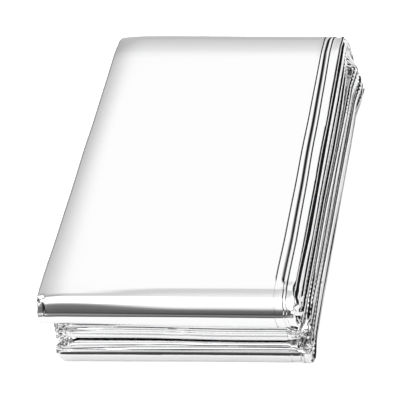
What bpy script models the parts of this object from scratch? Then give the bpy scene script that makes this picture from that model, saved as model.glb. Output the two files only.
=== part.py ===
"""Emergency foil blanket, folded flat into its packet, resting on its underside.

The sheet is pleated across its width into a strip, and the strip is halved four times along its
length. The solid is that strip: sixteen panels, one above the other, joined by nested U-turns at
the front and the back. +X runs to the packet's stepped side, +Y to its back and +Z up.
"""

import math

import bmesh
import bpy
import numpy as np

# Driving dimensions, in metres.
PACKET_HEIGHT = 0.026
SHEET_THICKNESS = 0.0010  # one strip layer, which is sixteen foils thick
BACK_FOLD_START = 0.0576  # y where the panels begin to turn down at the back
BACK_FOLD_DEPTH = 0.0105  # how far the outermost back fold reaches past it
BACK_SQUARENESS = 4.0  # exponent of a fold's superellipse: 2 is round, more is boxier
INNERMOST_FOLD_DEPTH = 0.0011  # of the smallest of a nest of folds
PLEAT_ROUNDING = ((0.0, 0.45), (0.00035, 0.85), (0.0012, 1.0))  # inset from the left, share of thickness
PLEAT_STEP_HEIGHT = 0.0002
PLEAT_STEP_INSETS = (0.0067, 0.0040, 0.0024)  # of the pleat edges from the right side
PLEAT_STEP_RAMP = 0.00015
PANEL_STATIONS = (0.0, 0.5, 1.0)  # along a panel, from its front fold to its back fold
SLIDE_OF_LAYERS = 0.00035  # how far single layers slip sideways in their group
CROWN = 0.0004  # how much the top rises at its middle

# How the strip is halved along its length: is the far half laid over the near one?
HALVINGS_OVER = (True, False, True, True)

# The groups of levels that the front folds hold together, from the bottom up: the lowest and
# highest level, the heights that they fill at the front and at the back, where their left and
# right sides lie, and the start, depth and squareness of their front folds (0 for free ends).
GROUP_COLUMNS = (
    "first", "last", "low_front", "high_front", "low_back", "high_back",
    "left_front", "left_back", "right_front", "right_back", "fold_start", "fold_depth", "squareness",
)
GROUP_ROWS = (
    (0, 1, 0.0000, 0.0030, 0.0000, 0.0031, -0.0398, -0.0390, 0.0407, 0.0412, -0.0644, 0.0020, 3.0),
    (2, 3, 0.0038, 0.0084, 0.0036, 0.0074, -0.0390, -0.0392, 0.0406, 0.0416, -0.0659, 0.0, 2.0),
    (4, 7, 0.0088, 0.0157, 0.0079, 0.0143, -0.0378, -0.0384, 0.0404, 0.0410, -0.0624, 0.0033, 3.0),
    (8, 15, 0.0160, 0.0260, 0.0161, 0.0260, -0.0412, -0.0416, 0.0386, 0.0388, -0.0614, 0.0065, 2.0),
)
GROUPS = [dict(zip(GROUP_COLUMNS, row)) for row in GROUP_ROWS]


def clear_scene():
    for obj in list(bpy.data.objects):
        bpy.data.objects.remove(obj, do_unlink=True)


def halved_pile(halvings):
    """Panel numbers from the bottom level up, after the far half is laid over or under each time."""
    piles = [[panel] for panel in range(2 ** len(halvings))]
    for over in halvings:
        near = piles[: len(piles) // 2]
        far = [pile[::-1] for pile in reversed(piles[len(piles) // 2 :])]
        piles = [a + b if over else b + a for a, b in zip(near, far)]
    return piles[0]


def group_of(level):
    return next(g for g in GROUPS if g["first"] <= level <= g["last"])


def level_height(level, end):
    """Height of a level's middle at its group's front or back."""
    group = group_of(level)
    low = group["low_" + end] + SHEET_THICKNESS / 2
    high = group["high_" + end] - SHEET_THICKNESS / 2
    share = (level - group["first"]) / (group["last"] - group["first"])
    return low + share * (high - low)


def level_sides(level, along):
    """Left and right side of a level, at a share of the way from its front to its back."""
    group = group_of(level)
    slip = SLIDE_OF_LAYERS * math.sin(2.4 * level)
    left = group["left_front"] + along * (group["left_back"] - group["left_front"])
    right = group["right_front"] + along * (group["right_back"] - group["right_front"])
    if level == group["last"] and group is GROUPS[-1]:
        right -= 0.0012
    return left + slip, right + slip


def fold_points(low, high, depth, squareness, steps):
    """(y offset, z, share) round a fold, from the lower level to the upper, without its two ends."""
    middle, half = (low + high) / 2, (high - low) / 2
    points = []
    for step in range(1, steps):
        angle = -math.pi / 2 + math.pi * step / steps
        y = depth * abs(math.cos(angle)) ** (2 / squareness)
        z = half * math.copysign(abs(math.sin(angle)) ** (2 / squareness), angle)
        points.append((y, middle + z, step / steps))
    return points


def strip_path(pile):
    """The strip's middle line from one free end to the other: rows of y, z, left x, right x."""
    level_of = {panel: level for level, panel in enumerate(pile)}
    path = []
    for panel in range(len(pile)):
        level = level_of[panel]
        front_y = group_of(level)["fold_start"]
        stations = PANEL_STATIONS if panel % 2 == 0 else PANEL_STATIONS[::-1]
        for along in stations:
            y = front_y + along * (BACK_FOLD_START - front_y)
            front_z, back_z = level_height(level, "front"), level_height(level, "back")
            path.append((y, front_z + along * (back_z - front_z), *level_sides(level, along)))
        if panel + 1 == len(pile):
            break
        onward = level_of[panel + 1]
        lower, upper = sorted((level, onward))
        at_back = panel % 2 == 0
        end = "back" if at_back else "front"
        group = group_of(level)
        nested = lower if at_back else lower - group["first"]
        folds = len(pile) // 2 if at_back else (group["last"] - group["first"] + 1) // 2
        outer_depth = BACK_FOLD_DEPTH if at_back else group["fold_depth"]
        depth = outer_depth - nested * (outer_depth - INNERMOST_FOLD_DEPTH) / max(folds - 1, 1)
        squareness = BACK_SQUARENESS if at_back else group["squareness"]
        steps = 8 if upper - lower > 5 else 6 if upper - lower > 1 else 4
        heights = level_height(lower, end), level_height(upper, end)
        turn = fold_points(*heights, depth, squareness, steps)
        if level > onward:
            turn = turn[::-1]
        for y, z, up_share in turn:
            y = BACK_FOLD_START + y if at_back else group["fold_start"] - y
            low_sides = np.array(level_sides(lower, float(at_back)))
            high_sides = np.array(level_sides(upper, float(at_back)))
            path.append((y, z, *(low_sides + up_share * (high_sides - low_sides))))
    return np.array(path)


def path_normals(path):
    """Unit normals of the middle line, widened at its corners so the sheet keeps its thickness."""
    steps = np.diff(path[:, :2], axis=0)
    steps /= np.linalg.norm(steps, axis=1)[:, None]
    across = np.stack([-steps[:, 1], steps[:, 0]], axis=1)
    before = np.vstack([across[:1], across])
    after = np.vstack([across, across[-1:]])
    normals = before + after
    normals /= np.linalg.norm(normals, axis=1)[:, None]
    return normals / np.clip((normals * after).sum(axis=1), 0.6, 1.0)[:, None]


def side_stations():
    """Across the strip: (counts from the right side?, inset, pleated face, plain face), in thickness."""
    half = SHEET_THICKNESS / 2
    stations = [(False, inset, half * share, half * share) for inset, share in PLEAT_ROUNDING]
    pleated = half
    for inset in PLEAT_STEP_INSETS:
        stations.append((True, inset, pleated, half))
        pleated -= PLEAT_STEP_HEIGHT
        stations.append((True, inset - PLEAT_STEP_RAMP, pleated, half))
    stations.append((True, 0.0, pleated, half))
    return stations


def crowned(x, y, z):
    """Heights raised towards the middle of the packet, in proportion to how high they are."""
    bulge = np.clip(1 - (x / 0.045) ** 2, 0, 1) * np.clip(1 - (y / 0.070) ** 2, 0, 1)
    return z + CROWN * bulge * z / PACKET_HEIGHT


def foil_blanket():
    path = strip_path(halved_pile(HALVINGS_OVER))
    normals = path_normals(path)
    mesh = bmesh.new()
    sections = []
    for from_right, inset, pleated, plain in side_stations():
        x = path[:, 3] - inset if from_right else path[:, 2] + inset
        ring = []
        for offset in (plain, -pleated):
            y = path[:, 0] + normals[:, 0] * offset
            z = path[:, 1] + normals[:, 1] * offset
            ring.append(np.stack([x, y, crowned(x, y, z)], axis=1))
        outline = np.vstack([ring[0], ring[1][::-1]])
        sections.append([mesh.verts.new(point) for point in outline])
    count = len(path)
    for near, far in zip(sections, sections[1:]):
        for i in range(2 * count):
            j = (i + 1) % (2 * count)
            mesh.faces.new((near[i], near[j], far[j], far[i]))
    for section in (sections[0], sections[-1]):
        for i in range(count - 1):
            mesh.faces.new((section[i], section[i + 1], section[-2 - i], section[-1 - i]))
    bmesh.ops.recalc_face_normals(mesh, faces=mesh.faces)
    rest_on_origin(mesh)
    return placed_object("foil_blanket", mesh)


def rest_on_origin(mesh):
    """Moves the packet so the middle of its underside is the origin."""
    points = np.array([vert.co for vert in mesh.verts])
    low, high = points.min(axis=0), points.max(axis=0)
    offset = -np.array([(low[0] + high[0]) / 2, (low[1] + high[1]) / 2, low[2]])
    bmesh.ops.translate(mesh, verts=mesh.verts, vec=offset)


def placed_object(name, mesh):
    data = bpy.data.meshes.new(name)
    mesh.to_mesh(data)
    mesh.free()
    obj = bpy.data.objects.new(name, data)
    bpy.context.scene.collection.objects.link(obj)
    return obj


def silver_foil():
    """Aluminium-coated film: a bright, nearly smooth mirror."""
    material = bpy.data.materials.new("silver_foil")
    material.use_nodes = True
    shader = material.node_tree.nodes["Principled BSDF"]
    shader.inputs["Base Color"].default_value = (0.86, 0.87, 0.88, 1.0)
    shader.inputs["Metallic"].default_value = 1.0
    shader.inputs["Roughness"].default_value = 0.12
    return material


clear_scene()
blanket = foil_blanket()
blanket.data.materials.append(silver_foil())
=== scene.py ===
"""A silver foil blanket, pleated and folded into its packet, on a pale studio floor."""
import math

import bpy
import numpy as np
from mathutils import Matrix, Vector


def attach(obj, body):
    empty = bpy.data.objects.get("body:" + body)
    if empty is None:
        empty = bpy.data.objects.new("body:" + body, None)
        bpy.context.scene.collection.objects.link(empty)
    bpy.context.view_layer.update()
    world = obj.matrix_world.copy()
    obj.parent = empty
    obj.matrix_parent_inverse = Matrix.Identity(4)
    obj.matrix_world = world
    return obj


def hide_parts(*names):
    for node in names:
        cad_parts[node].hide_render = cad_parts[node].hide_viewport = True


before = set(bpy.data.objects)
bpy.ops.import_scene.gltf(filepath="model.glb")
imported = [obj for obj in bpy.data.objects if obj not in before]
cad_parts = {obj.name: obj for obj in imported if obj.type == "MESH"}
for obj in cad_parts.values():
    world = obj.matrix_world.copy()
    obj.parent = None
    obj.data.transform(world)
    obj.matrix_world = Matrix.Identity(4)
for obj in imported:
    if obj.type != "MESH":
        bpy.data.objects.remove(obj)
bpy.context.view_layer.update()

# ---------------------------------------------------------------------------------------------
# The foil: twelve-micrometre polyester film with a vacuum-deposited layer of aluminium on it.
# It is a nearly perfect mirror, dulled a little by handling, with fine crinkles pressed in.
# ---------------------------------------------------------------------------------------------
FOIL_SILVER = (0.81, 0.81, 0.815, 1.0)
FOIL_ROUGHNESS = 0.07
CRINKLE_SIZE = 0.0035  # of the crinkles that handling leaves, in metres
CRINKLE_HEIGHT = 0.000010
CRINKLE_DETAIL = 3.0  # how many times finer crinkles lie on the coarse ones
CRINKLE_HARSHNESS = 0.6
WRINKLE_SPACING = 0.0020  # of the wrinkles that cross the folds at the right side
WRINKLE_SLANT = 0.55
WRINKLE_HEIGHT = 0.000028
WRINKLE_STRAYING = 3.5  # how far they stray from an even spacing, in radians
STRAYS_PER_METRE = 420.0


def feed(tree, socket, value):
    """Links a socket into an input, or sets the input to a plain value."""
    if isinstance(value, bpy.types.NodeSocket):
        tree.links.new(value, socket)
    else:
        socket.default_value = value


def node(tree, kind, **inputs):
    """Adds a node and feeds its inputs, which go by their names, or by number as i0, i1 and i2."""
    made = tree.nodes.new(kind)
    for name, value in inputs.items():
        numbered = name[0] == "i" and name[1:].isdigit()
        feed(tree, made.inputs[int(name[1:]) if numbered else name], value)
    return made


def maths(tree, operation, a, b=0.0, c=0.0):
    made = node(tree, "ShaderNodeMath", i0=a, i1=b, i2=c)
    made.operation = operation
    return made.outputs[0]


def silver_foil():
    material = bpy.data.materials.new("silver_foil")
    material.use_nodes = True
    tree = material.node_tree
    shader = tree.nodes["Principled BSDF"]
    shader.inputs["Base Color"].default_value = FOIL_SILVER
    shader.inputs["Metallic"].default_value = 1.0
    shader.inputs["Roughness"].default_value = FOIL_ROUGHNESS
    place = tree.nodes.new("ShaderNodeTexCoord").outputs["Object"]
    crinkles = node(
        tree, "ShaderNodeTexNoise", Vector=place, Scale=1 / CRINKLE_SIZE, Detail=CRINKLE_DETAIL,
        Roughness=CRINKLE_HARSHNESS,
    )
    crinkled = node(tree, "ShaderNodeBump", Height=crinkles.outputs["Fac"], Distance=CRINKLE_HEIGHT)
    # wrinkles across the right side's folds, where the sheet's edge attribute is over 0
    along, upward = node(tree, "ShaderNodeSeparateXYZ", Vector=place).outputs[1:3]
    strays = node(tree, "ShaderNodeTexNoise", Vector=place, Scale=STRAYS_PER_METRE, Detail=1.0)
    straying = maths(tree, "MULTIPLY", strays.outputs["Fac"], WRINKLE_STRAYING)
    slanted = maths(tree, "MULTIPLY_ADD", upward, WRINKLE_SLANT, along)
    phase = maths(tree, "MULTIPLY_ADD", slanted, 2 * math.pi / WRINKLE_SPACING, straying)
    edge = tree.nodes.new("ShaderNodeAttribute")
    edge.attribute_name = "edge"
    wrinkles = maths(tree, "MULTIPLY", maths(tree, "SINE", phase), edge.outputs["Fac"])
    crinkled = crinkled.outputs["Normal"]
    wrinkled = node(tree, "ShaderNodeBump", Height=wrinkles, Distance=WRINKLE_HEIGHT, Normal=crinkled)
    tree.links.new(wrinkled.outputs["Normal"], shader.inputs["Normal"])
    return material


foil = silver_foil()

# ---------------------------------------------------------------------------------------------
# The pleats: the sheet's 1.28 m width is halved four times into a strip of sixteen layers.
# Eight folds lie inside each other at the left. At the right the folds of each earlier halving
# stop short of the next ones, and the sheet's two free edges stop first.
# ---------------------------------------------------------------------------------------------
PLEAT_WIDTH = 0.080
PLEAT_HALVINGS_OVER = (True, False, False, False)
FOIL_SPACING = 0.000068  # between foils in the pressed strip
PUFF_LENGTH = 0.0010  # over which a group of foils swells towards its folds
# The right side's groups of foils: lowest and highest, how far short of the side their folds
# stop, the heights that they swell to, the length of their noses, and their heights on the top
# panel, which has been pressed into steps.
EDGE_COLUMNS = ("first", "last", "inset", "low", "high", "nose", "top_low", "top_high")
EDGE_ROWS = (
    (0, 7, 0.0000, -0.00050, 0.00030, 0.00080, -0.00051, -0.00036),
    (8, 11, 0.0025, 0.00008, 0.00040, 0.00032, -0.00049, -0.00019),
    (12, 13, 0.0034, 0.00030, 0.00052, 0.00145, -0.00034, 0.00024),
    (14, 15, 0.0062, 0.00042, 0.00051, 0.00050, 0.00020, 0.00056),
)
EDGES = [dict(zip(EDGE_COLUMNS, row)) for row in EDGE_ROWS]
NOSE = ((0.45, 0.25), (0.72, -0.30), (1.0, -0.85))  # shares of nose length and half height
NESTED_INSET = 0.00009  # how much further in each fold inside another one stops
NESTED_SHRINK = 0.8  # how much smaller they grow towards the innermost
STEP_LENGTHS = (0.0012, 0.0006, 0.0001)  # before a group's folds, where the foils under it step down
FREE_EDGE_NOSE = 0.3  # share of the nose before a free edge bends
FREE_EDGE_HEIGHT = 0.00040
FREE_EDGE_GAP = 0.00001  # from there up or down to each of the two
FACE_STATIONS = (
    0.0004, 0.0009, 0.0015, 0.0022, 0.0026, 0.0032, 0.0039, 0.0049, 0.0060, 0.0073, 0.0088, 0.0106,
    0.0128, 0.0156, 0.0190, 0.0230, 0.0275, 0.0325, 0.0375, 0.0425, 0.0475, 0.0525, 0.0570, 0.0610,
    0.0645, 0.0675, 0.0700, 0.0715,
)  # from the left side, on the outer foil
HIDDEN_STATIONS = (0.0010, 0.0250, 0.0550)
STATION_GAP = 0.0002  # at least this much before the foils swell
LEFT_FOLD_START = HIDDEN_STATIONS[0] - 0.0004
LEFT_FOLD_DEPTH = 0.0006
LEFT_FOLD_STEPS = (6, 6, 4, 4, 4, 4, 4, 4)  # from the outermost fold in


def halved_pile(halvings):
    """Panel numbers from the bottom level up, after the far half is laid over or under each time."""
    piles = [[panel] for panel in range(2 ** len(halvings))]
    for over in halvings:
        near = piles[: len(piles) // 2]
        far = [pile[::-1] for pile in reversed(piles[len(piles) // 2 :])]
        piles = [a + b if over else b + a for a, b in zip(near, far)]
    return piles[0]


def smooth(value, low, high):
    """Rises smoothly from 0 at low to 1 at high."""
    share = np.clip((value - low) / (high - low), 0.0, 1.0)
    return share * share * (3 - 2 * share)


def half_ring(low, high, depth, squareness, steps):
    """(outward, height, share) round a fold from its low side to its high side, without its ends."""
    angles = np.pi * np.arange(1, steps) / steps - np.pi / 2
    outward = depth * np.cos(angles) ** (2 / squareness)
    height = np.sign(np.sin(angles)) * np.abs(np.sin(angles)) ** (2 / squareness)
    middle, half = (low + high) / 2, (high - low) / 2
    return np.stack([outward, middle + half * height, (angles + np.pi / 2) / np.pi], axis=1)


def flat_height(level):
    """A foil's height where the strip is pressed flat, or that of a place between two foils."""
    return FOIL_SPACING * (level - (2 ** len(PLEAT_HALVINGS_OVER) - 1) / 2)


def top_height(level, x):
    """A foil's height on the top panel, pressed lower past each group of folds over it."""
    lowest = EDGES[0]["top_low"]
    height = flat_height(level)
    for over, under in zip(EDGES[:0:-1], EDGES[-2::-1]):
        if level < over["first"]:
            past = PLEAT_WIDTH - over["inset"]
            lower = lowest + (level + 1) / (under["last"] + 1) * (under["top_high"] - lowest)
            share = float(smooth(x, past - STEP_LENGTHS[0], past - STEP_LENGTHS[-1]))
            height += (lower - height) * share
    return height


def pleat_section():
    """The sheet's section across the strip: rows of x, height, height on the top panel, height
    where it is pressed flat, edge, and place on the cut."""
    levels = {pleat: level for level, pleat in enumerate(halved_pile(PLEAT_HALVINGS_OVER))}
    last_pleat = len(levels) - 1
    rows = []
    for pleat, level in sorted(levels.items()):
        edge = next(edge for edge in EDGES if edge["first"] <= level <= edge["last"])
        folds = (edge["last"] - edge["first"] + 1) // 2
        nest = min(level - edge["first"], edge["last"] - level)
        size = 1 - NESTED_SHRINK * nest / folds
        side = 1 if 2 * level > edge["first"] + edge["last"] else -1
        flat = flat_height(level)
        middle = (edge["low"] + edge["high"]) / 2
        half = size * (edge["high"] - edge["low"]) / 2
        top_middle = (edge["top_low"] + edge["top_high"]) / 2
        top_half = size * (edge["top_high"] - edge["top_low"]) / 2
        fold_height, top_fold_height = middle + side * half, top_middle + side * top_half
        end = PLEAT_WIDTH - edge["inset"] - NESTED_INSET * nest
        nose = edge["nose"] * size
        foot = end - nose
        at_side = float(edge["inset"] == 0.0)

        # the pleat's flat run, with more stations where it steps down
        stations = list(FACE_STATIONS if level == last_pleat else HIDDEN_STATIONS)
        steps = STEP_LENGTHS if level in [row["last"] for row in EDGES] else STEP_LENGTHS[1:2]
        for row in EDGES:
            if row["first"] > level:
                stations += [PLEAT_WIDTH - row["inset"] - length for length in steps]
        flat_end = foot - PUFF_LENGTH - STATION_GAP
        run = [(x, flat, top_height(level, x), flat, 0.0) for x in sorted(stations) if x < flat_end]
        # where it swells towards its fold, and its free edge if it has one
        for share in (0.0, 0.5, 1.0):
            rise = float(smooth(share, 0.0, 1.0))
            x = foot + PUFF_LENGTH * (share - 1)
            on_top = top_height(level, x) * (1 - rise) + top_fold_height * rise
            run.append((x, flat + (fold_height - flat) * rise, on_top, flat, at_side * rise))
        if pleat in (0, last_pleat):
            free_height = FREE_EDGE_HEIGHT + side * FREE_EDGE_GAP
            run.append((foot + FREE_EDGE_NOSE * nose, fold_height, top_fold_height, flat, 0.0))
            run.append((end, free_height, free_height, flat, 0.0))
        rightward = pleat % 2 == 1
        rows += run if rightward else run[::-1]
        if pleat == last_pleat:
            break

        # the turn into the next pleat, at the right side or the left
        onward = levels[pleat + 1]
        turn = []
        if rightward:
            flat_middle = flat_height((edge["first"] + edge["last"]) / 2)
            flat_half = FOIL_SPACING * abs(level - onward) / 2
            for out, up in NOSE[::-1]:
                heights = middle + half * up, top_middle + top_half * up, flat_middle + flat_half * up
                turn.append((foot + out * nose, *heights, at_side))
        else:
            nested = min(level, onward, last_pleat - level, last_pleat - onward)
            depth = LEFT_FOLD_DEPTH * (1 - nested / (len(LEFT_FOLD_STEPS) + 1))
            low, high = flat_height(min(level, onward)), flat_height(max(level, onward))
            for out, height in half_ring(low, high, depth, 2.0, LEFT_FOLD_STEPS[nested])[:, :2]:
                turn.append((LEFT_FOLD_START - out, height, height, height, 0.0))
        rows += turn if level < onward else turn[::-1]
    section = np.array(rows)
    lengths = np.linalg.norm(np.diff(section[:, :2], axis=0), axis=1)
    section[:, 0] -= PLEAT_WIDTH / 2
    return np.column_stack([section, np.concatenate([[0.0], np.cumsum(lengths)])])


# ---------------------------------------------------------------------------------------------
# The halved strip: the 2.10 m strip is halved four times along its length. Its sixteen panels
# lie one above the other, joined by eight folds inside each other at the back and by seven at
# the front, in three groups. Its two free ends lie over the lowest group.
# ---------------------------------------------------------------------------------------------
STRIP_HALVINGS_OVER = (True, False, True, True)
STRIP_THICKNESS = 0.0010
SECTION_HEIGHT = 0.001  # at which the pleats are swept along the strip, before they get their own
BACK_FOLD_START = 0.0576  # y where the panels begin to turn down at the back
BACK_FOLD_DEPTH = 0.0105  # how far the outermost back fold reaches past it
BACK_SQUARENESS = 10.0  # exponent of the outermost back fold: 2 is round, more is boxier
INNERMOST_SQUARENESS = 2.5
INNERMOST_FOLD_DEPTH = 0.0011
OUTER_FOLD_STEPS = 30
INNER_FOLD_STEPS = 9
SLIDE_OF_LAYERS = 0.00035  # how far single panels slip sideways in their group
SLIDE_TURN = 2.4  # radians from one level's slip to the next
RAGGED_SIDES = 0.0012  # how far a layer's sides stray along its panel
RAGGED_PER_METRE = 22.0  # how often they stray
RAGGED_SEED = 4.0
PINCH_FROM, PINCH_TO = -0.032, 0.004  # x over which the top front fold stops being pinched to a box
TOP_PANEL_INSET = 0.0007
TOP_PRESSED = (0.0, 0.035)  # share of the top panel's length over which it stops being pressed flat
TOP_STEPPED = (0.8, 1.0)  # share of the top back fold's height over which its steps begin
FOLD_PRESSING = 0.72  # how flat the strip is pressed round the outer front folds
FOLD_PRESSED = (0.70, 0.82)  # share of their height from which it is pressed quite flat
# The groups of levels that the front folds hold together, and the two free ends, from the bottom
# up: the heights that they fill at the front and the back, their left and right sides there, their
# front folds, and how much thicker than pressed the strip is in them at the front and the back.
GROUP_COLUMNS = (
    "first", "last", "low_front", "high_front", "low_back", "high_back",
    "left_front", "left_back", "right_front", "right_back",
    "fold_start", "fold_depth", "loft_front", "loft_back",
)
GROUP_ROWS = (
    (0, 1, 0.0000, 0.0050, 0.0000, 0.0031, -0.0398, -0.0390, 0.0407, 0.0412, -0.0644, 0.0020, 1.50, 1.30),
    (2, 3, 0.0050, 0.0083, 0.0036, 0.0074, -0.0390, -0.0392, 0.0406, 0.0416, -0.0662, 0.0, 1.60, 1.75),
    (4, 7, 0.0086, 0.0157, 0.0079, 0.0143, -0.0378, -0.0384, 0.0404, 0.0410, -0.0624, 0.0036, 1.45, 1.40),
    (8, 15, 0.0160, 0.0260, 0.0161, 0.0260, -0.0418, -0.0422, 0.0386, 0.0388, -0.0602, 0.0085, 1.08, 1.08),
)
GROUPS = [dict(zip(GROUP_COLUMNS, row)) for row in GROUP_ROWS]
TOP_LEVEL = GROUPS[-1]["last"]
PANEL_STATIONS = np.array([0, 0.02, 0.07, 0.22, 0.42, 0.62, 0.82, 0.95, 1])
TOP_STATIONS = np.concatenate([
    np.linspace(0, 0.075, 13), np.linspace(0.10, 0.86, 20), np.linspace(0.89, 1, 11),
])
# How the visible front folds turn down, from the top: the surface's angle below the level, and
# the length at that angle in millimetres. The first and last lengths follow from the fold's depth.
TOP_TURNS = (
    (1, 0), (3.5, 0.5), (6.5, 1.3), (8.0, 1.5), (19, 0.3), (28, 0.7), (38, 1.3), (46, 0.8), (53, 0.4),
    (59, 0.9), (66, 0.4), (50, 0.6), (84, 0.9), (92, 2.1), (115, 0.7), (145, 0.5), (176, 0),
)
# The same fold at its left end, where it is pinched to a box.
PINCHED_TURNS = (
    (1, 0), (1, 1.5), (1, 1.3), (5, 0.9), (10, 0.4), (27, 0.5), (34, 1.2), (56, 0.7), (58, 1.1),
    (60, 1.1), (63, 0.5), (50, 0.8), (84, 0.6), (92, 1.6), (116, 0.6), (142, 0.8), (170, 0),
)
MIDDLE_TURNS = (
    (8, 0), (34, 0.5), (52, 0.3), (82, 0.9), (57, 0.3), (86, 0.55), (54, 0.3), (85, 0.65), (55, 0.2),
    (88, 1.5), (59, 0.25), (98, 0.9), (128, 0.4), (172, 0),
)
BOTTOM_TURNS = (
    (5, 0), (60, 0.35), (66, 0.85), (69, 0.35), (84, 0.2), (90, 1.2), (99, 0.55), (125, 0.35), (170, 0),
)
TURN_POINTS = (0.12, 0.88)  # two in every straight piece, so that only its ends are rounded
SETTLING_ROUNDS = 30  # in which a fold's lengths are fitted to its height and depth
FREE_END = ((0.00035, 0.93), (0.00065, 0.74), (0.00085, 0.45), (0.00092, 0.12))  # outward, share of loft


def group_of(level):
    return next(group for group in GROUPS if group["first"] <= level <= group["last"])


def level_height(level, end):
    """Height of a level's middle at its group's front or back."""
    group = group_of(level)
    half = STRIP_THICKNESS * group["loft_" + end] / 2
    low, high = group["low_" + end] + half, group["high_" + end] - half
    return low + (high - low) * (level - group["first"]) / (group["last"] - group["first"])


def level_sides(level, along):
    """Left side, right side and loft of a level, at a share of the way from its front to its back."""
    group = group_of(level)
    slip = SLIDE_OF_LAYERS * math.sin(SLIDE_TURN * level)
    left, right, loft = (
        group[name + "_front"] + along * (group[name + "_back"] - group[name + "_front"])
        for name in ("left", "right", "loft")
    )
    if level == TOP_LEVEL:
        right -= TOP_PANEL_INSET
    return np.array([left + slip, right + slip, loft])


def turned_ring(low, high, depth, turns):
    """(outward, height, share) from the low side of a fold to its high side, by its turns."""
    angles = np.radians([angle for angle, length in turns])
    lengths = np.array([length for angle, length in turns]) / 1000
    for settling in range(SETTLING_ROUNDS):
        lengths[1:-1] *= (high - low) / (lengths * np.sin(angles)).sum()
        out = (lengths * np.cos(angles))[:-1]
        lengths[0] += (depth - np.cumsum(out).max()) / np.cos(angles[0])
        lengths[-1] = -out.sum() / np.cos(angles[-1])
    steps = np.column_stack([lengths * np.cos(angles), -lengths * np.sin(angles)])
    corners = np.vstack([[0.0, high], [0.0, high] + np.cumsum(steps, axis=0)])
    places = [corners[k] + share * steps[k] for k in range(len(turns)) for share in TURN_POINTS]
    ring = np.array(places[::-1])
    return np.column_stack([ring, (ring[:, 1] - low) / (high - low)])


def strip_path():
    """The strip's middle line: rows of y, z, left, right, loft, pull in y and z, level, how far
    it is stepped like the top panel, and how far it is pressed flat."""
    pile = halved_pile(STRIP_HALVINGS_OVER)
    level_of = {panel: level for level, panel in enumerate(pile)}
    path = []
    for panel in range(len(pile)):
        level = level_of[panel]
        front_y = group_of(level)["fold_start"]
        front_z, back_z = level_height(level, "front"), level_height(level, "back")
        is_top = level == TOP_LEVEL
        run = []
        if panel in (0, len(pile) - 1):
            left, right, loft = level_sides(level, 0.0)
            for out, share in FREE_END[::-1]:
                run.append([front_y - out, front_z, left, right, loft * share, 0, 0, level, 0, 0])
        for along in TOP_STATIONS if is_top else PANEL_STATIONS:
            y = front_y + along * (BACK_FOLD_START - front_y)
            z = front_z + along * (back_z - front_z)
            pressed = float(is_top) * (1 - smooth(along, *TOP_PRESSED))
            stepped = float(is_top) * (1 - pressed)
            run.append([y, z, *level_sides(level, along), 0, 0, level, stepped, pressed])
        path += run if panel % 2 == 0 else run[::-1]
        if panel + 1 == len(pile):
            break

        # the fold into the next panel, at the back or the front
        onward = level_of[panel + 1]
        lower, upper = sorted((level, onward))
        at_back = panel % 2 == 0
        end = "back" if at_back else "front"
        group = group_of(level)
        nested = lower if at_back else lower - group["first"]
        folds = len(pile) // 2 if at_back else (group["last"] - group["first"] + 1) // 2
        outer_depth = BACK_FOLD_DEPTH if at_back else group["fold_depth"]
        depth = outer_depth - nested * (outer_depth - INNERMOST_FOLD_DEPTH) / max(folds - 1, 1)
        low_z, high_z = level_height(lower, end), level_height(upper, end)
        pull = 0.0
        if at_back:
            squareness = BACK_SQUARENESS + (INNERMOST_SQUARENESS - BACK_SQUARENESS) * nested / (folds - 1)
            steps = INNER_FOLD_STEPS if nested else OUTER_FOLD_STEPS
            ring = half_ring(low_z, high_z, depth, squareness, steps)
        elif nested:
            ring = half_ring(low_z, high_z, depth, 2.0, INNER_FOLD_STEPS)
        elif group["last"] == TOP_LEVEL:
            ring = turned_ring(low_z, high_z, depth, TOP_TURNS)
            pull = (turned_ring(low_z, high_z, depth, PINCHED_TURNS) - ring)[:, :2] * (-1, 1)
        else:
            ring = turned_ring(low_z, high_z, depth, BOTTOM_TURNS if folds == 1 else MIDDLE_TURNS)
        ring = np.hstack([ring, np.zeros((len(ring), 2)) + pull])
        if level > onward:
            ring = ring[::-1]
        low_sides, high_sides = level_sides(lower, float(at_back)), level_sides(upper, float(at_back))
        for out, z, share, pull_y, pull_z in ring:
            y = BACK_FOLD_START + out if at_back else group["fold_start"] - out
            sides = low_sides + share * (high_sides - low_sides)
            level_here = lower + share * (upper - lower)
            stepped = smooth(share, *TOP_STEPPED) if upper == TOP_LEVEL and at_back else 0.0
            pressed = 0.0
            if not (at_back or nested):
                pressed = FOLD_PRESSING + (1 - FOLD_PRESSING) * smooth(share, *FOLD_PRESSED)
            path.append([y, z, *sides, pull_y, pull_z, level_here, stepped, pressed])
    return np.array(path)


def wire(name, points, **attributes):
    """An open line of edges whose points carry named numbers."""
    mesh = bpy.data.meshes.new(name)
    edges = [(i, i + 1) for i in range(len(points) - 1)]
    mesh.from_pydata([tuple(point) for point in points], edges, [])
    for label, values in attributes.items():
        kind, part = ("FLOAT_VECTOR", "vector") if np.ndim(values) == 2 else ("FLOAT", "value")
        layer = mesh.attributes.new(label, kind, "POINT")
        layer.data.foreach_set(part, np.ravel(values).astype(np.float32))
    made = bpy.data.objects.new(name, mesh)
    bpy.context.scene.collection.objects.link(made)
    return made


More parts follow.
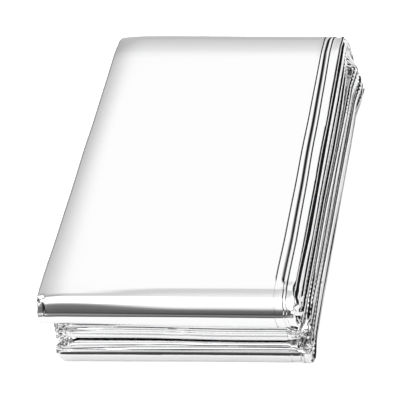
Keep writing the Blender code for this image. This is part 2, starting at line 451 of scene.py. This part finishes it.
section = pleat_section()
nothing = np.zeros(len(section))
pleats = wire(
    "pleats", np.column_stack([section[:, 0], nothing + SECTION_HEIGHT, nothing]),
    usual_height=section[:, 1], top_height=section[:, 2], flat_height=section[:, 3],
    edge=section[:, 4], cut_across=section[:, 5],
)
path = strip_path()
nothing = np.zeros(len(path))
spine = np.column_stack([nothing, path[:, :2]])
lengths = np.linalg.norm(np.diff(spine, axis=0), axis=1)
left, right = path[:, 2], path[:, 3]
strip = wire(
    "foil_blanket_sheet", spine, spine=spine, cut_along=np.concatenate([[0], np.cumsum(lengths)]),
    shift=(left + right) / 2, stretch=(right - left) / PLEAT_WIDTH, loft=path[:, 4],
    pull=np.column_stack([nothing, path[:, 5:7]]), level=path[:, 7], stepped=path[:, 8],
    pressed=path[:, 9],
)


def attribute(tree, name, kind="FLOAT"):
    made = tree.nodes.new("GeometryNodeInputNamedAttribute")
    made.data_type = kind
    made.inputs["Name"].default_value = name
    return made.outputs["Attribute"]


def vector_maths(tree, operation, a, b):
    made = tree.nodes.new("ShaderNodeVectorMath")
    made.operation = operation
    feed(tree, made.inputs[0], a)
    feed(tree, made.inputs["Scale"] if operation == "SCALE" else made.inputs[1], b)
    return made.outputs[0]


def ramp(tree, value, low, high):
    made = node(tree, "ShaderNodeMapRange", i0=value, i1=low, i2=high)
    made.interpolation_type = "SMOOTHSTEP"
    made.clamp = True
    return made.outputs[0]


def sheet_tree():
    """Sweeps the pleats along the halved strip, each panel to its own sides and thickness."""
    tree = bpy.data.node_groups.new("folded sheet", "GeometryNodeTree")
    face = tree.interface
    face.new_socket("Geometry", in_out="INPUT", socket_type="NodeSocketGeometry")
    face.new_socket("Geometry", in_out="OUTPUT", socket_type="NodeSocketGeometry")
    kinds = {"Pleats": "NodeSocketObject", "Foil": "NodeSocketMaterial"}
    sockets = {}
    for name in ("Pleats", "Foil", "Pinch from", "Pinch to", "Ragged sides", "Seed"):
        kind = kinds.get(name, "NodeSocketFloat")
        sockets[name] = face.new_socket(name, in_out="INPUT", socket_type=kind).identifier
    given = tree.nodes.new("NodeGroupInput").outputs
    profile = node(tree, "GeometryNodeObjectInfo", Object=given["Pleats"])
    path_curve = node(tree, "GeometryNodeMeshToCurve", Mesh=given["Geometry"])
    pleat_curve = node(tree, "GeometryNodeMeshToCurve", Mesh=profile.outputs["Geometry"])
    sweep = node(tree, "GeometryNodeCurveToMesh", Curve=path_curve.outputs[0], i1=pleat_curve.outputs[0])
    # each point's place is its spine point plus its place in the pleat section
    here = tree.nodes.new("GeometryNodeInputPosition").outputs[0]
    middle = attribute(tree, "spine", "FLOAT_VECTOR")
    from_middle = vector_maths(tree, "SUBTRACT", here, middle)
    local = node(tree, "ShaderNodeSeparateXYZ", Vector=from_middle).outputs
    width = maths(tree, "MULTIPLY_ADD", local[0], attribute(tree, "stretch"), attribute(tree, "shift"))
    # single layers of the pile slide sideways by their own amounts, which lie round 0.5
    middle_y = node(tree, "ShaderNodeSeparateXYZ", Vector=middle).outputs[1]
    along = maths(tree, "MULTIPLY", middle_y, RAGGED_PER_METRE)
    slide_at = node(tree, "ShaderNodeCombineXYZ", X=attribute(tree, "level"), Y=along, Z=given["Seed"])
    slide = node(tree, "ShaderNodeTexNoise", Vector=slide_at.outputs[0], Scale=1.0, Detail=1.0)
    slide = maths(tree, "SUBTRACT", slide.outputs[0], 0.5)
    slid = maths(tree, "MULTIPLY_ADD", slide, given["Ragged sides"], width)
    # the pile's heights: in steps on the top panel, or pressed flat, and then swollen by the loft
    usual = attribute(tree, "usual_height")
    height = usual
    for other, how_far in (("top_height", "stepped"), ("flat_height", "pressed")):
        change = maths(tree, "SUBTRACT", attribute(tree, other), usual)
        change = maths(tree, "MULTIPLY", change, attribute(tree, how_far))
        height = maths(tree, "ADD", height, change)
    swell = maths(tree, "MULTIPLY", maths(tree, "DIVIDE", height, SECTION_HEIGHT), attribute(tree, "loft"))
    offset = node(tree, "ShaderNodeCombineXYZ", Y=local[1], Z=local[2]).outputs[0]
    place = vector_maths(tree, "ADD", middle, vector_maths(tree, "SCALE", offset, swell))
    # the pull that pinches the top fold at its left end
    pinch = maths(tree, "SUBTRACT", 1.0, ramp(tree, slid, given["Pinch from"], given["Pinch to"]))
    pull = vector_maths(tree, "SCALE", attribute(tree, "pull", "FLOAT_VECTOR"), pinch)
    place = vector_maths(tree, "ADD", place, pull)
    place = vector_maths(tree, "ADD", place, node(tree, "ShaderNodeCombineXYZ", X=slid).outputs[0])
    moved = node(tree, "GeometryNodeSetPosition", Geometry=sweep.outputs[0], Position=place)
    # the sheet's place on its flat cut, in metres
    place_on_cut = node(
        tree, "ShaderNodeCombineXYZ", X=attribute(tree, "cut_across"), Y=attribute(tree, "cut_along"),
    )
    cut = tree.nodes.new("GeometryNodeStoreNamedAttribute")
    cut.data_type = "FLOAT2"
    cut.domain = "CORNER"
    cut.inputs["Name"].default_value = "UVMap"
    tree.links.new(moved.outputs[0], cut.inputs["Geometry"])
    tree.links.new(place_on_cut.outputs[0], cut.inputs["Value"])
    smooth_faces = node(tree, "GeometryNodeSetShadeSmooth", Geometry=cut.outputs[0])
    real = node(tree, "GeometryNodeRealizeInstances", Geometry=smooth_faces.outputs[0])
    coated = node(tree, "GeometryNodeSetMaterial", Geometry=real.outputs[0], Material=given["Foil"])
    output = tree.nodes.new("NodeGroupOutput")
    tree.links.new(coated.outputs[0], output.inputs[0])
    return tree, sockets


tree, sockets = sheet_tree()
fold = strip.modifiers.new("fold", "NODES")
fold.node_group = tree
fold[sockets["Pleats"]] = pleats
fold[sockets["Foil"]] = foil
fold[sockets["Pinch from"]] = PINCH_FROM
fold[sockets["Pinch to"]] = PINCH_TO
fold[sockets["Ragged sides"]] = RAGGED_SIDES
fold[sockets["Seed"]] = RAGGED_SEED
graph = bpy.context.evaluated_depsgraph_get()
graph.update()
folded = strip.evaluated_get(graph)
mesh = bpy.data.meshes.new_from_object(folded, preserve_all_data_layers=True, depsgraph=graph)
strip.modifiers.clear()
bpy.data.objects.remove(pleats)
bpy.data.objects.remove(strip)
blanket = bpy.data.objects.new("foil_blanket_sheet", mesh)
bpy.context.scene.collection.objects.link(blanket)

# ---------------------------------------------------------------------------------------------
# The creases and dents: packing pressed the folded foil out of square, crumpled the ends of its
# folds and opened gaps between them. Each press moves all the layers at a place alike, so that
# they stay one over another. Its places and amounts are in millimetres.
# ---------------------------------------------------------------------------------------------
RIGHTWARD, BACKWARD, UPWARD = 0, 1, 2
FRONT_END = (-64, -57)  # y over which the front folds end
UPPER_PILE = (15.2, 16.6)  # z over which the upper pile begins
UPPER_PILE_BOTTOM, UPPER_PILE_HEIGHT = 16, 10
LOWEST_FOLD_TOP = (4.7, 5.3)
CRUMPLE_WAVES = 9
CRUMPLE_SHARE = 1 / 5  # of the whole depth, in each wave
CRUMPLE_SPREAD = (0.7, 1.5)  # of the waves' lengths
UNDER_FLOOR = 0.02  # share that is left of anything pressed below the floor
WRINKLE_END = (22.0, 23.5)  # z over which the wrinkles at the right side end
CORNER_WRINKLES = 3.0  # how much deeper they are at the back right corner

points = np.empty(len(mesh.vertices) * 3, np.float32)
mesh.vertices.foreach_get("co", points)
points = points.reshape(-1, 3).astype(float) * 1000
x, y, z = points.T


def region(right_of=None, left_of=None, behind=None, ahead_of=None, above=None, below=None):
    """How far inside a region each point is, from 0 to 1. Each limit is the two places between
    which it rises or falls."""
    share = np.ones(len(points))
    for values, rising, falling in ((x, right_of, left_of), (y, behind, ahead_of), (z, above, below)):
        if rising:
            share *= smooth(values, *rising)
        if falling:
            share *= 1 - smooth(values, *falling)
    return share


def past(values, start, most):
    """How far values lie past a start, up to a limit."""
    return np.clip(values - start, 0, most)


def press(direction, by, **limits):
    """Moves the points of a region by an amount."""
    points[:, direction] += by * region(**limits)


def crumple(size, depth, seed, **limits):
    """Soft dents of a size and depth in a region, the same for all the layers at a place."""
    chance = np.random.default_rng(seed)
    shift = np.zeros_like(points)
    for wave in range(CRUMPLE_WAVES):
        across = chance.normal(size=3)
        across /= np.linalg.norm(across) * size * chance.uniform(*CRUMPLE_SPREAD)
        push = chance.normal(size=3)
        turn = 2 * np.pi * (points @ across + chance.uniform())
        shift += depth * CRUMPLE_SHARE * push * np.sin(turn)[:, None]
    return shift * region(**limits)[:, None]


# broad dents along the lower piles' front folds, and crumples at the ends of all the folds
upper_end = {"ahead_of": FRONT_END, "above": UPPER_PILE}
lower_end = {"ahead_of": FRONT_END, "above": LOWEST_FOLD_TOP, "below": UPPER_PILE}
dents = crumple(size=24, depth=0.16, seed=3, ahead_of=FRONT_END, below=UPPER_PILE)
dents += crumple(size=1.8, depth=0.75, seed=5, **upper_end, right_of=(36.0, 38.5))
dents += crumple(size=1.5, depth=0.85, seed=16, **lower_end, right_of=(34.5, 39.5))
dents += crumple(size=1.5, depth=0.90, seed=17, **lower_end, left_of=(-36.5, -31.0))
dents += crumple(size=1.5, depth=0.50, seed=10, **upper_end, below=(18.0, 19.5), left_of=(-40.0, -38.0))
dents += crumple(size=1.8, depth=0.14, seed=8, right_of=(37.5, 39.5))
dents += crumple(size=3.2, depth=0.35, seed=9, right_of=(36.5, 39.5), behind=(50, 58))
# how far in the front and in the upper pile each point is before it is pressed
front = region(ahead_of=FRONT_END)
upper = region(above=UPPER_PILE)
up_the_pile = np.clip((z - UPPER_PILE_BOTTOM) / UPPER_PILE_HEIGHT, 0, 1)
# the top sinks towards its left side and its back, and its right side is pressed down
press(UPWARD, -0.62 * up_the_pile * np.clip(1 - (x + 41.3) / 9, 0, 1.2) ** 2)
press(UPWARD, -0.60 * up_the_pile * np.clip((y - 53) / 13, 0, 1) ** 2)
press(UPWARD, -0.8 * past(x, 37.3, 1.5), above=(20.5, 25))
# the upper pile's back right corner leans over, and its top is pressed down
press(RIGHTWARD, 0.2, above=(15, 21), behind=(54, 63), right_of=(37.0, 38.8))
press(RIGHTWARD, -0.11 * past(25.5 - z, 0, 10), above=(15.4, 16.2), behind=(52, 62), right_of=(36.8, 38.2))
press(UPWARD, -0.4 * past(x, 38.2, 2.5), above=(16, 22), behind=(50, 60))
press(UPWARD, -0.3, above=(23, 25), behind=(60, 66), right_of=(34, 37.5))
# the pleats' folds on the top lean away from its right side towards the back
backwards = np.clip((y + 40) / 104, 0, 1)
press(RIGHTWARD, -0.9 * backwards, above=(22, 24), right_of=(31, 33.5), left_of=(35.5, 37.8))
# the lowest folds of the upper pile's right side stand out from the ones over them
press(RIGHTWARD, 0.8, above=(15.6, 16.0), below=(18.8, 19.3), right_of=(36, 38), ahead_of=(48, 60))
# the left front corner of the upper pile is folded in flat, and its tip is bent down
facet = upper * region(ahead_of=(-66, -62), left_of=(-39.6, -39.2))
press(BACKWARD, 0.13 * facet * past(z, 18.5, 7))
press(UPWARD, 0.5 * facet, ahead_of=(-65.8, -65.2), above=(21.5, 24.7))
tip = np.clip(1 - np.hypot(x + 42.0, y + 66.0) / 1.4, 0, 1)
press(UPWARD, -1.6 * tip, above=(23.5, 25))
# the right front corner of the upper pile is pressed in over its lower half
press(BACKWARD, 0.45 * front * past(z, 18.6, 3.2), right_of=(36.6, 38.0), below=(21.8, 22.8))
# the lowest fold's right end is square, and its corners are dented
lowest = front * region(below=(4.9, 5.1))
press(BACKWARD, -0.5 * lowest, right_of=(37.4, 38.2))
press(UPWARD, -0.9 * front, right_of=(37.4, 38.2), below=(0.8, 3.0))
press(BACKWARD, 0.35 * lowest * past(z, 0, 5), right_of=(39.9, 40.9))
press(BACKWARD, 0.5 * lowest * past(z, 2.2, 2.5), left_of=(-40.0, -38.4))
# the lowest layers stand out at the right side
press(RIGHTWARD, 1.1 * region(below=(0.1, 1.7)) - 0.3 * region(below=(3.0, 5.0)), right_of=(38.5, 40.0))
# gaps open at the right ends of the middle and lower piles
sag = region(right_of=(33.5, 37.0), ahead_of=(-62, -52))
press(UPWARD, -2.3 * sag * (1 - upper), above=(10, 15.4))
press(UPWARD, -1.1 * sag, above=(5.5, 8.1), below=(8.25, 8.5))
# every layer is drawn towards the back at the right side
press(BACKWARD, 4.5 * (1 - np.clip((y - 61) / 7.5, 0, 1)), right_of=(32, 38), behind=(49, 61))
# the back is not square: the right end of the upper pile's back lies further forward
press(BACKWARD, 1.4 - 2.9 * smooth(x, -44, 44), above=(13, 18), behind=(30, 66))
# the lower piles' left ends lie further forward
press(BACKWARD, -1.0, below=(8.3, 8.55), ahead_of=(-66, -50), left_of=(-45, 30))
# at the left end, the lowest pile is drawn in at its bottom, and the one over it at its top
left_end = region(left_of=(-38, -33), ahead_of=(-66, -54))
press(UPWARD, -0.6 * left_end, above=(6.0, 8.2), below=(8.3, 8.5))
press(RIGHTWARD, 1.8 * left_end, below=(0.3, 4.0))
press(RIGHTWARD, 1.2 * left_end, above=(5.0, 8.2), below=(8.3, 8.5))
# the lower piles' back right corners flare out
press(RIGHTWARD, 1.3, below=(2, 9), behind=(52, 66), right_of=(30, 41))
flare = region(above=(7, 10), below=(13, 15.5))
press(RIGHTWARD, flare, behind=(54, 63), ahead_of=(66.4, 67.2), right_of=(36, 40))
points += dents
z[:] = np.maximum(z, UNDER_FLOOR * np.clip(z, -1, 0))

# the upper edges at the right side are pressed smooth, and the back right corner is not
wrinkled = np.empty(len(mesh.vertices), np.float32)
mesh.attributes["edge"].data.foreach_get("value", wrinkled)
wrinkled *= region(below=WRINKLE_END)
corner = region(right_of=(38.2, 39.2), behind=(56, 62), below=(22.0, 24.0))
wrinkled = np.maximum(wrinkled, CORNER_WRINKLES * corner)
mesh.attributes["edge"].data.foreach_set("value", wrinkled.astype(np.float32))
mesh.vertices.foreach_set("co", (points / 1000).astype(np.float32).ravel())
mesh.update()

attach(blanket, "root")
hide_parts("foil_blanket")

# ---------------------------------------------------------------------------------------------
# The floor: a sheet of pale, matt card that the packet lies on. It is lit a little more where it
# is seen directly, so that it stays white, than where the foil mirrors it.
# ---------------------------------------------------------------------------------------------
FLOOR_REACH = 3.0
FLOOR_CORNERS = ((-1, -1), (1, -1), (1, 1), (-1, 1))
FLOOR_PALE = (0.93, 0.93, 0.93, 1.0)
FLOOR_ROUGHNESS = 0.9
FLOOR_GLOW = 0.5
WHITE = (1.0, 1.0, 1.0, 1.0)

floor_points = [(across * FLOOR_REACH, back * FLOOR_REACH, 0.0) for across, back in FLOOR_CORNERS]
floor_mesh = bpy.data.meshes.new("floor")
floor_mesh.from_pydata(floor_points, [], [(0, 1, 2, 3)])
floor = bpy.data.objects.new("floor", floor_mesh)
bpy.context.scene.collection.objects.link(floor)
pale = bpy.data.materials.new("pale_floor")
pale.use_nodes = True
shader = pale.node_tree.nodes["Principled BSDF"]
shader.inputs["Base Color"].default_value = FLOOR_PALE
shader.inputs["Roughness"].default_value = FLOOR_ROUGHNESS
shader.inputs["Emission Color"].default_value = WHITE
seen = pale.node_tree.nodes.new("ShaderNodeLightPath").outputs["Is Camera Ray"]
glow = maths(pale.node_tree, "MULTIPLY", seen, FLOOR_GLOW)
pale.node_tree.links.new(glow, shader.inputs["Emission Strength"])
floor_mesh.materials.append(pale)

# ---------------------------------------------------------------------------------------------
# The light: a tent of white cloth round the packet, lit from outside. It is brightest over the
# packet, dim in front, open low down at the right and a little dimmer at the left.
# ---------------------------------------------------------------------------------------------
CAMERA_AZIMUTH, CAMERA_ELEVATION, CAMERA_ROLL = (math.radians(a) for a in (16.65, 39.79, -11.0))
# Brightness of the tent over the packet, by the angle from the floor behind, through the top, to
# the floor in front, in degrees.
TENT = (
    (0, 0.64), (24, 0.64), (35.5, 1.21), (45, 1.21), (50, 0.80), (55, 0.80), (63, 1.30), (72, 2.45),
    (117, 2.45), (126, 1.35), (134, 0.92), (145, 0.38), (156, 0.20), (167, 0.09), (180, 0.05),
)
# The share of the light that is missing in its dimmer parts.
MISSING_AT_OPEN_SIDE = 0.985
MISSING_AT_LEFT = 0.45
MISSING_LOW_AT_LEFT = 0.85

world = bpy.data.worlds.new("studio")
bpy.context.scene.world = world
world.use_nodes = True
sky = world.node_tree
sky.nodes.clear()


def sky_maths(operation, a, b=0.0, c=0.0):
    return maths(sky, operation, a, b, c)


# a direction's parts, seen from the camera's side: rightward, away from it and up, from -1 to 1
direction = sky.nodes.new("ShaderNodeTexCoord").outputs["Generated"]
turned = node(sky, "ShaderNodeVectorRotate", Vector=direction, Angle=-CAMERA_AZIMUTH)
turned.rotation_type = "Z_AXIS"
sideways, backward, height = node(sky, "ShaderNodeSeparateXYZ", Vector=turned.outputs[0]).outputs[:3]
leftward = sky_maths("MULTIPLY", sideways, -1.0)
angle = sky_maths("DIVIDE", sky_maths("ARCTAN2", height, backward), math.pi)
tent = node(sky, "ShaderNodeValToRGB", Fac=sky_maths("MAXIMUM", angle, 0.0))
brightest = max(value for degrees, value in TENT)
while len(tent.color_ramp.elements) < len(TENT):
    tent.color_ramp.elements.new(1.0)
for stop, (degrees, value) in zip(tent.color_ramp.elements, TENT):
    stop.position = degrees / 180
    stop.color = (value / brightest, value / brightest, value / brightest, 1.0)
tent_light = sky_maths("MULTIPLY", tent.outputs["Color"], brightest)


def tent_part(right_of=None, left_of=None, below=None, behind=None):
    """How far inside a part of the tent a direction points, from 0 to 1."""
    shares = []
    for values, limits in ((sideways, right_of), (leftward, left_of), (height, below), (backward, behind)):
        if limits:
            share = ramp(sky, values, *limits)
            shares.append(sky_maths("SUBTRACT", 1.0, share) if values is height else share)
    part = shares[0]
    for share in shares[1:]:
        part = sky_maths("MULTIPLY", part, share)
    return part


open_side = tent_part(right_of=(0.24, 0.42), below=(0.60, 0.80), behind=(-0.55, -0.25))
at_left = tent_part(left_of=(0.05, 0.28), behind=(0.1, 0.5))
low_at_left = tent_part(left_of=(0.80, 0.94), below=(0.45, 0.75))
for share, missing in (
    (open_side, MISSING_AT_OPEN_SIDE), (at_left, MISSING_AT_LEFT), (low_at_left, MISSING_LOW_AT_LEFT),
):
    tent_light = sky_maths("MULTIPLY", tent_light, sky_maths("MULTIPLY_ADD", share, -missing, 1.0))
# behind the packet the camera sees plain white
seen = sky.nodes.new("ShaderNodeLightPath").outputs["Is Camera Ray"]
strength = sky_maths("ADD", sky_maths("MULTIPLY", tent_light, sky_maths("SUBTRACT", 1.0, seen)), seen)
background = node(sky, "ShaderNodeBackground", Color=WHITE, Strength=strength)
lit = sky.nodes.new("ShaderNodeOutputWorld")
sky.links.new(background.outputs[0], lit.inputs["Surface"])
bpy.context.scene.view_settings.view_transform = "Standard"

# ---------------------------------------------------------------------------------------------
# The camera: a long lens above the front right corner, far enough off that the packet's sides
# hardly taper, and rolled so that the folds lie level.
# ---------------------------------------------------------------------------------------------
CAMERA_DISTANCE = 0.6527
CAMERA_TARGET = Vector((-0.0030, -0.0049, 0.0120))
CAMERA_LENS = 180.0

level_reach = math.cos(CAMERA_ELEVATION)
toward = Vector((
    math.sin(CAMERA_AZIMUTH) * level_reach,
    -math.cos(CAMERA_AZIMUTH) * level_reach,
    math.sin(CAMERA_ELEVATION),
))
camera_data = bpy.data.cameras.new("camera")
camera_data.lens = CAMERA_LENS
camera = bpy.data.objects.new("camera", camera_data)
bpy.context.scene.collection.objects.link(camera)
level_view = (-toward).to_track_quat("-Z", "Y").to_matrix()
rolled_view = level_view @ Matrix.Rotation(CAMERA_ROLL, 3, "Z")
place = Matrix.Translation(CAMERA_TARGET + toward * CAMERA_DISTANCE)
camera.matrix_world = place @ rolled_view.to_4x4()
bpy.context.scene.camera = camera
